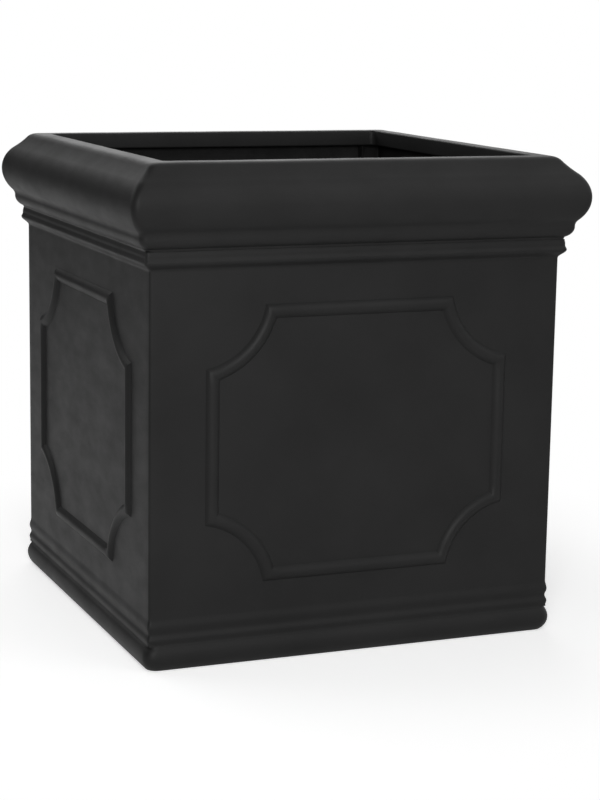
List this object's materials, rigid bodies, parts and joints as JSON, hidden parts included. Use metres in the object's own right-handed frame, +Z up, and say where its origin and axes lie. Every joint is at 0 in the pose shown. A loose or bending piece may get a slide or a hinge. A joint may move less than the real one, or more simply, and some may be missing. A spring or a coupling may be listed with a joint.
{
  "type": "square planter",
  "caption": "Square floor planter with a half-round cornice, neck bead, beaded wall panels with incurved corners, a rounded plinth and a plugged drain hole.",
  "frame": {"origin": "on the ground, under the planter's middle", "axes": "+Z up; the front face looks along -Y; +X to its right; the four sides are alike"},
  "size_m": [0.5, 0.5, 0.508],
  "materials": {
    "walls": "matte anthracite coat on fibre clay, faintly mottled",
    "cornice": "matte anthracite coat on fibre clay, rubbed smoother on the round",
    "base": "matte anthracite coat on fibre clay",
    "laminate": "rough dark fibre laminate",
    "plug_rubber": "matte black rubber"
  },
  "bodies": {
    "planter": {"front_wall": "walls", "right_wall": "walls", "back_wall": "walls", "left_wall": "walls", "cornice_ring": "cornice", "base_tray": "base", "corner_fillet_front_left": "laminate", "corner_fillet_front_right": "laminate", "corner_fillet_back_right": "laminate", "corner_fillet_back_left": "laminate"},
    "plug": {"drain_plug": "plug_rubber"}
  },
  "joints": [
    {"name": "drain_plug_lift", "type": "slide", "parent": "planter", "child": "plug", "axis": [0, 0, 1], "range_m": [0, 0.5]}
  ]
}
